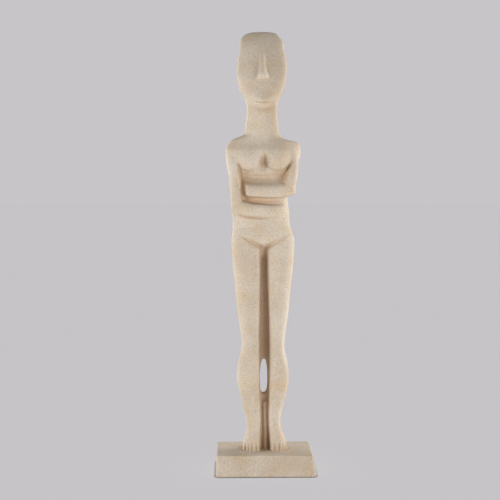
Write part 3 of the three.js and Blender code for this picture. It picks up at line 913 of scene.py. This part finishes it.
def stone_material():
    """Fine sand in white cement, cast in a mould, rubbed smooth and sealed matt, with painted shade in its
    colour.
    """
    material = bpy.data.materials.new("cast_stone_sealed_with_painted_shade")
    material.use_nodes = True
    tree = material.node_tree
    tree.nodes.clear()
    place = add(tree, "ShaderNodeTexCoord").outputs["Object"]

    def noise(size, detail):
        links = {"Vector": place, "Scale": 1 / (size * MM), "Detail": detail}
        return add(tree, "ShaderNodeTexNoise", links).outputs["Fac"]

    def between(value, low, high, to_low=0.0, to_high=1.0):
        links = {"Value": value, "From Min": low, "From Max": high, "To Min": to_low, "To Max": to_high}
        return add(tree, "ShaderNodeMapRange", links, interpolation_type="SMOOTHSTEP").outputs["Result"]

    def mix(share, first, second, blend="MIX"):
        node = add(tree, "ShaderNodeMix", {"Factor": share}, data_type="RGBA", blend_type=blend)
        for socket, value in ((node.inputs[6], first), (node.inputs[7], second)):
            if isinstance(value, bpy.types.NodeSocket):
                tree.links.new(value, socket)
            else:
                socket.default_value = value
        return node.outputs[2]

    def times(value, other):
        return add(tree, "ShaderNodeMath", {0: value, 1: other}, operation="MULTIPLY").outputs[0]

    def grains(size, share, radius):
        """Round grains of about this size in mm: only this share of the cells holds one."""
        links = {"Vector": place, "Scale": 1 / (size * MM)}
        cells = add(tree, "ShaderNodeTexVoronoi", links)
        parted = add(tree, "ShaderNodeSeparateColor", {"Color": cells.outputs["Color"]})
        held = {0: parted.outputs["Red"], 1: share}
        held = add(tree, "ShaderNodeMath", held, operation="LESS_THAN").outputs[0]
        return times(held, between(cells.outputs["Distance"], radius * GRAIN_CORE, radius, 1, 0))

    def clouds(size, detail, *edges):
        return between(noise(size, detail), *edges)

    # The cement is clouded, and browner where the mould held more sand
    colour = mix(clouds(*CEMENT_CLOUDS), linear(STONE_PALE), linear(STONE_DEEP))
    colour = mix(clouds(*SANDY_CLOUDS), colour, linear(STONE_WARM))
    # Sand: the fine body of it, then single dark and light grains
    colour = mix(1.0, colour, mix(clouds(*SAND), *SAND_TONES), "MULTIPLY")
    colour = mix(times(grains(*DARK_GRAINS), GRAIN_SHARE), colour, linear(GRAIN_DARK))
    colour = mix(times(grains(*LIGHT_GRAINS), GRAIN_SHARE), colour, linear(GRAIN_LIGHT))
    # Painted shade on the sides of the base, which makes them darker than its top
    parted = add(tree, "ShaderNodeSeparateXYZ", {"Vector": place}).outputs
    aside, forward, above = (parted[axis] for axis in "XYZ")
    colour = mix(between(above, *BASE_SIDES_PAINTED_SHADE_BELOW), colour, mix(1.0, colour, BASE_SIDES_PAINTED_SHADE, "MULTIPLY"))
    # Painted shade on the crown and down the left side of the head and neck
    side_painted_shade = times(between(above, *HEAD_PAINTED_SHADE_ABOVE), between(aside, *HEAD_PAINTED_SHADE_ASIDE))
    shares = {0: side_painted_shade, 1: between(above, *HEAD_PAINTED_SHADE_CROWN)}
    head_painted_shade = add(tree, "ShaderNodeMath", shares, operation="MAXIMUM").outputs[0]
    colour = mix(head_painted_shade, colour, mix(1.0, colour, HEAD_PAINTED_SHADE, "MULTIPLY"))
    # Painted shade: warm under the chin and in the hollows, deeper in the deepest hollows, and dark in the
    # pits
    painted_chin_shade = times(between(above, *THROAT_PAINTED_SHADE_ABOVE), between(above, *THROAT_PAINTED_SHADE_BELOW))
    painted_chin_shade = times(painted_chin_shade, between(forward, *THROAT_PAINTED_SHADE_FRONT))
    colour = mix(times(painted_chin_shade, THROAT_PAINTED_SHADE_SHARE), colour, linear(WARM_PAINTED_SHADE))
    hollow = add(tree, "ShaderNodeAttribute", attribute_name="hollow").outputs["Fac"]
    pit = add(tree, "ShaderNodeAttribute", attribute_name="pit").outputs["Fac"]
    colour = mix(between(hollow, *HOLLOW_PAINTED_SHADE_RANGE), colour, linear(WARM_PAINTED_SHADE))
    colour = mix(between(hollow, *DEEP_PAINTED_SHADE_RANGE), colour, linear(DEEP_PAINTED_SHADE))
    colour = mix(times(pit, PIT_PAINTED_SHADE_SHARE), colour, linear(PIT_PAINTED_SHADE))

    height = mix(RELIEF_SHARE, noise(*RELIEF_COARSE), noise(*RELIEF_FINE))
    bump = {"Height": height, "Strength": 1.0, "Distance": GRAIN_HEIGHT * MM}
    links = {
        "Base Color": colour, "Roughness": clouds(*ROUGHNESS), "Specular IOR Level": SHINE,
        "Normal": add(tree, "ShaderNodeBump", bump).outputs["Normal"],
    }
    shader = add(tree, "ShaderNodeBsdfPrincipled", links)
    add(tree, "ShaderNodeOutputMaterial", {"Surface": shader.outputs["BSDF"]})
    return material


def surface_tree():
    """Geometry nodes that press the pits and a gentle unevenness into the surface, only ever inwards."""
    tree = bpy.data.node_groups.new("cast_surface", "GeometryNodeTree")
    kinds = {
        "Geometry": "NodeSocketGeometry", "Pits": "NodeSocketObject", "Pit Depth": "NodeSocketFloat",
        "Uneven Height": "NodeSocketFloat", "Uneven Size": "NodeSocketFloat", "Seed": "NodeSocketFloat",
        "Material": "NodeSocketMaterial",
    }
    for name, kind in kinds.items():
        tree.interface.new_socket(name, in_out="INPUT", socket_type=kind)
    tree.interface.new_socket("Geometry", in_out="OUTPUT", socket_type="NodeSocketGeometry")
    given = add(tree, "NodeGroupInput").outputs
    here = add(tree, "GeometryNodeInputPosition").outputs[0]
    outwards = add(tree, "GeometryNodeInputNormal").outputs[0]

    def maths(operation, *values):
        links = dict(enumerate(values))
        return add(tree, "ShaderNodeMath", links, operation=operation).outputs[0]

    # How wide the nearest pit is, and how far its middle is
    pits = add(tree, "GeometryNodeObjectInfo", {"Object": given["Pits"]}).outputs["Geometry"]
    nearest = add(tree, "GeometryNodeSampleNearest", {"Geometry": pits, "Sample Position": here})
    width = add(tree, "GeometryNodeInputNamedAttribute", {"Name": "width"}, data_type="FLOAT")
    found = {"Geometry": pits, "Value": width.outputs[0], "Index": nearest.outputs[0]}
    width = add(tree, "GeometryNodeSampleIndex", found, data_type="FLOAT", domain="POINT").outputs[0]
    away = add(tree, "GeometryNodeProximity", {0: pits}, target_element="POINTS").outputs["Distance"]
    inside = {"Value": maths("DIVIDE", away, width), "From Min": PIT_FLOOR, "From Max": PIT_RIM}
    inside.update({"To Min": 1.0, "To Max": 0.0})
    pit = add(tree, "ShaderNodeMapRange", inside, interpolation_type="SMOOTHSTEP").outputs["Result"]

    scale = maths("DIVIDE", 1.0, given["Uneven Size"])
    wave = {"Vector": here, "W": given["Seed"], "Scale": scale, "Detail": 1.0}
    wave = add(tree, "ShaderNodeTexNoise", wave, noise_dimensions="4D").outputs[0]
    wave = maths("MULTIPLY", wave, given["Uneven Height"])
    inwards = maths("ADD", maths("MULTIPLY", pit, given["Pit Depth"]), wave)
    offset = {0: outwards, "Scale": maths("MULTIPLY", inwards, -1.0)}
    offset = add(tree, "ShaderNodeVectorMath", offset, operation="SCALE").outputs[0]
    marked = {"Geometry": given["Geometry"], "Name": "pit", "Value": pit}
    marked = add(tree, "GeometryNodeStoreNamedAttribute", marked, data_type="FLOAT", domain="POINT")
    moved = {"Geometry": marked.outputs[0], "Offset": offset}
    moved = add(tree, "GeometryNodeSetPosition", moved).outputs[0]
    plain = add(tree, "GeometryNodeRealizeInstances", {"Geometry": moved}).outputs[0]
    painted = add(tree, "GeometryNodeSetMaterial", {"Geometry": plain, "Material": given["Material"]})
    add(tree, "NodeGroupOutput", {"Geometry": painted.outputs[0]})
    return tree


def press_surface(piece, pits, material):
    """Runs the geometry nodes once on the piece and keeps the result as a plain mesh."""
    marks = bpy.data.meshes.new("pit_marks")
    marks.from_pydata((pits["places"] * MM).tolist(), [], [])
    widths = np.random.default_rng(pits["seed"]).uniform(*pits["widths"], len(pits["places"])) * MM
    marks.attributes.new("width", "FLOAT", "POINT").data.foreach_set("value", widths)
    markers = bpy.data.objects.new("pit_marks", marks)
    bpy.context.scene.collection.objects.link(markers)
    modifier = piece.modifiers.new("cast_surface", "NODES")
    modifier.node_group = surface_tree()
    values = {
        "Pits": markers, "Pit Depth": pits["depth"] * MM, "Uneven Height": UNEVEN_HEIGHT * MM,
        "Uneven Size": UNEVEN_SIZE * MM, "Seed": float(pits["seed"]), "Material": material,
    }
    for item in modifier.node_group.interface.items_tree:
        if item.in_out == "INPUT" and item.name in values:
            modifier[item.identifier] = values[item.name]
    shown = piece.evaluated_get(bpy.context.evaluated_depsgraph_get())
    plain = bpy.data.meshes.new_from_object(shown)
    piece.modifiers.clear()
    piece.data = plain
    bpy.data.objects.remove(markers)


def floor_material():
    """Matt studio paper, evenly lit from all round, with a thin contact shade around the piece."""
    material = bpy.data.materials.new("studio_paper_matt")
    material.use_nodes = True
    tree = material.node_tree
    tree.nodes.clear()
    near = add(tree, "ShaderNodeAmbientOcclusion", {"Distance": CONTACT_REACH * MM}, samples=16)
    shaded, clear = CONTACT_OPEN
    links = {"Value": near.outputs["AO"], "From Min": shaded, "From Max": clear}
    links.update({"To Min": CONTACT_GLOW, "To Max": FLOOR_GLOW})
    strength = add(tree, "ShaderNodeMapRange", links).outputs["Result"]
    glow = add(tree, "ShaderNodeEmission", {"Color": linear(BACKDROP), "Strength": strength})
    matt = add(tree, "ShaderNodeBsdfDiffuse", {"Color": FLOOR_MATT})
    both = add(tree, "ShaderNodeAddShader", {0: glow.outputs[0], 1: matt.outputs[0]})
    add(tree, "ShaderNodeOutputMaterial", {"Surface": both.outputs[0]})
    return material


def soft_light(name, place, size, watts, lit):
    """A soft box that faces the figure and lights only what is in the collection."""
    light = bpy.data.lights.new(name, "AREA")
    light.shape = "RECTANGLE"
    light.size, light.size_y = size
    light.energy = watts
    lamp = bpy.data.objects.new(name, light)
    lamp.location = place
    lamp.rotation_euler = (Vector(LIGHTS_AIM) - Vector(place)).to_track_quat("-Z", "Y").to_euler()
    lamp.light_linking.receiver_collection = lit
    lamp.visible_camera = False
    bpy.context.scene.collection.objects.link(lamp)


def studio_world():
    """Even pale surroundings, dimmer overhead, where the studio has no light."""
    world = bpy.data.worlds.new("pale_studio")
    world.use_nodes = True
    tree = world.node_tree
    tree.nodes.clear()
    way = add(tree, "ShaderNodeTexCoord").outputs["Generated"]
    upwards = add(tree, "ShaderNodeSeparateXYZ", {"Vector": way}).outputs["Z"]
    links = {"Value": upwards, "From Min": PALE_BELOW, "From Max": DIM_ABOVE}
    share = add(tree, "ShaderNodeMapRange", links, interpolation_type="SMOOTHSTEP").outputs["Result"]
    sky = add(tree, "ShaderNodeMix", {"Factor": share}, data_type="RGBA")
    sky.inputs[6].default_value = linear(BACKDROP)
    sky.inputs[7].default_value = (OVERHEAD, OVERHEAD, OVERHEAD, 1)
    light = add(tree, "ShaderNodeBackground", {"Color": sky.outputs[2], "Strength": 1.0})
    add(tree, "ShaderNodeOutputWorld", {"Surface": light.outputs[0]})
    return world


def stage(piece):
    """The floor, the even pale surroundings, the soft lights and the camera."""
    scene = bpy.context.scene
    mesh = bpy.data.meshes.new("studio_floor")
    corners = [(-1, -1), (1, -1), (1, 1), (-1, 1)]
    mesh.from_pydata([(x * FLOOR_HALF, y * FLOOR_HALF, 0) for x, y in corners], [], [(0, 1, 2, 3)])
    mesh.materials.append(floor_material())
    floor = bpy.data.objects.new("studio_floor", mesh)
    scene.collection.objects.link(floor)
    scene.world = studio_world()
    lit = bpy.data.collections.new("lit_by_the_lamps")
    lit.objects.link(piece)
    for name, (place, size, watts) in LIGHTS.items():
        soft_light(name, place, size, watts, lit)
    scene.view_settings.view_transform = "Standard"
    camera = bpy.data.objects.new("camera", bpy.data.cameras.new("camera"))
    camera.data.sensor_width = SENSOR_WIDTH
    camera.data.lens = FOCAL_PIXELS / PICTURE_PIXELS * SENSOR_WIDTH
    turn, pitch = CAMERA_TURN, math.atan(HORIZON_PIXELS / FOCAL_PIXELS)
    ahead = Vector((math.sin(turn) * math.cos(pitch), math.cos(turn) * math.cos(pitch), -math.sin(pitch)))
    camera.location = (
        -CAMERA_ASIDE - CAMERA_DISTANCE * math.sin(turn),
        -CAMERA_DISTANCE * math.cos(turn),
        CAMERA_HEIGHT,
    )
    camera.rotation_euler = ahead.to_track_quat("-Z", "Y").to_euler()
    scene.collection.objects.link(camera)
    scene.camera = camera


figurine = bpy.data.objects.new("figurine_cast", casting_mesh(PITS))
bpy.context.scene.collection.objects.link(figurine)
press_surface(figurine, PITS, stone_material())
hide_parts("figurine")
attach(figurine, "root")

stage(figurine)
